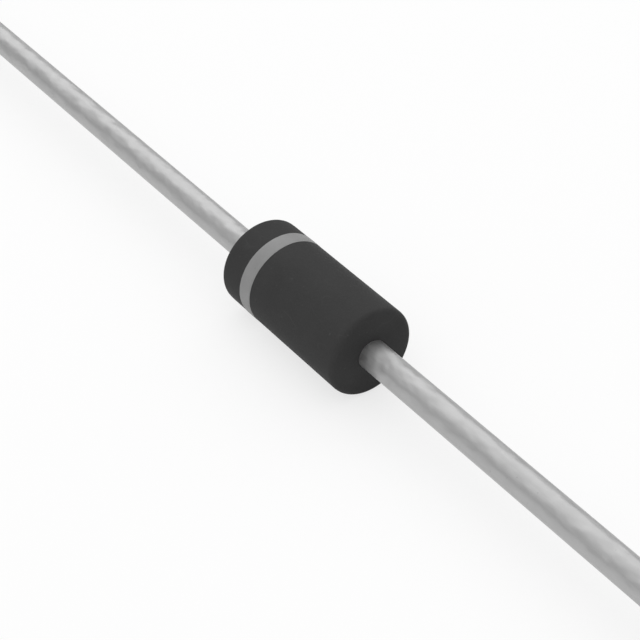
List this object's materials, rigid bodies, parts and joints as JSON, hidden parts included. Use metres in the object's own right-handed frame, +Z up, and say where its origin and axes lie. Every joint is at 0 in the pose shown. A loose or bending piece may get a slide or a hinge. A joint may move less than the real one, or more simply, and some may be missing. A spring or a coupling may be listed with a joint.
{
  "type": "zener diode",
  "caption": "Axial-lead zener diode: a black moulded cylinder with rounded rims, a grey cathode band and a straight tinned wire lead from each end, for soldering into a circuit.",
  "frame": {"origin": "the middle of the moulded body, on the axis of the leads", "axes": "+X along the leads towards the anode lead's cut end; the band is at the -X end; +Z up"},
  "size_m": [0.0572, 0.0026, 0.0026],
  "materials": {
    "epoxy": "matte black moulded epoxy with a fine grain",
    "band_ink": "flat grey printed ink",
    "tinned_copper": "satin tin plate on drawn copper wire",
    "silicon": "sawn silicon",
    "solder": "dull reflowed solder",
    "silicone": "white cured silicone"
  },
  "bodies": {
    "root": {"moulded_body": "epoxy", "cathode_band": "band_ink", "anode_lead": "tinned_copper", "cathode_lead": "tinned_copper", "zener_die": "silicon", "anode_solder": "solder", "cathode_solder": "solder", "junction_coating": "silicone"}
  },
  "joints": []
}
